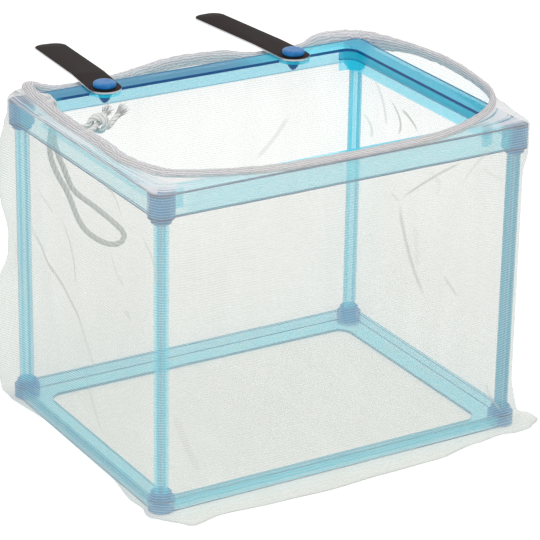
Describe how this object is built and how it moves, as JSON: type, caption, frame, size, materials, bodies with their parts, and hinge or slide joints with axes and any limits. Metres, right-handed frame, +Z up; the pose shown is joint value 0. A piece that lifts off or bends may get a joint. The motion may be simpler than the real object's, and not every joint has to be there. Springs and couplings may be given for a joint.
{
  "type": "fish breeding box",
  "caption": "Aquarium breeding box: a fine net bag drawn over a push-fit clear plastic frame, with bendable metal strips that hang it on a tank's rim.",
  "frame": {"origin": "on the surface that the box stands on, under the middle of the plastic frame's outline", "axes": "+X along the front rail to the right, +Y to the back rail that carries the hanger strips, +Z up"},
  "size_m": [0.1868, 0.1999, 0.1371],
  "materials": {
    "clear_blue_plastic": "clear, tinted pale blue, smooth moulded",
    "solid_blue_plastic": "solid blue, smooth moulded",
    "black_painted_steel": "satin black, bare at the cut edges",
    "white_net": "fine open mesh of white thread",
    "white_hem": "gathered mesh, several layers thick",
    "white_cord": "soft twisted cord, frayed at its ends"
  },
  "bodies": {
    "box": {"top_frame": "clear_blue_plastic", "base_frame": "clear_blue_plastic", "post_front_left": "clear_blue_plastic", "post_front_right": "clear_blue_plastic", "post_back_left": "clear_blue_plastic", "post_back_right": "clear_blue_plastic", "net_front": "white_net", "net_right": "white_net", "net_back": "white_net", "net_left": "white_net", "net_floor": "white_net", "net_hem": "white_hem", "drawstring_loop": "white_cord", "drawstring_front_end": "white_cord", "drawstring_knot": "white_cord", "drawstring_long_run": "white_cord", "drawstring_short_run": "white_cord"},
    "left_hanger": {"hanger_left": "black_painted_steel"},
    "left_hook": {"hanger_hook_left": "black_painted_steel"},
    "right_hanger": {"hanger_right": "black_painted_steel"},
    "right_hook": {"hanger_hook_right": "black_painted_steel"},
    "left_rivet": {"rivet_left": "solid_blue_plastic"},
    "right_rivet": {"rivet_right": "solid_blue_plastic"}
  },
  "joints": [
    {"name": "left_hanger_swivel", "type": "hinge", "parent": "box", "child": "left_hanger", "pos_m": [-0.0442, 0.05285, 0.1307], "axis": [0, 0, 1], "range_deg": [-12.8, 27.2]},
    {"name": "left_hook_bend", "type": "hinge", "parent": "left_hanger", "child": "left_hook", "pos_m": [-0.04104, 0.07784, 0.13033], "axis": [-0.9921, 0.1253, 0], "range_deg": [0, 90]},
    {"name": "right_hanger_swivel", "type": "hinge", "parent": "box", "child": "right_hanger", "pos_m": [0.0442, 0.05285, 0.1307], "axis": [0, 0, 1], "range_deg": [-22.3, 17.7]},
    {"name": "right_hook_bend", "type": "hinge", "parent": "right_hanger", "child": "right_hook", "pos_m": [0.04319, 0.07803, 0.13053], "axis": [-0.9992, -0.0401, 0], "range_deg": [0, 90]},
    {"name": "left_rivet_pull", "type": "slide", "parent": "box", "child": "left_rivet", "axis": [0, 0, 1], "range_m": [0, 0.0065]},
    {"name": "right_rivet_pull", "type": "slide", "parent": "box", "child": "right_rivet", "axis": [0, 0, 1], "range_m": [0, 0.0065]}
  ]
}
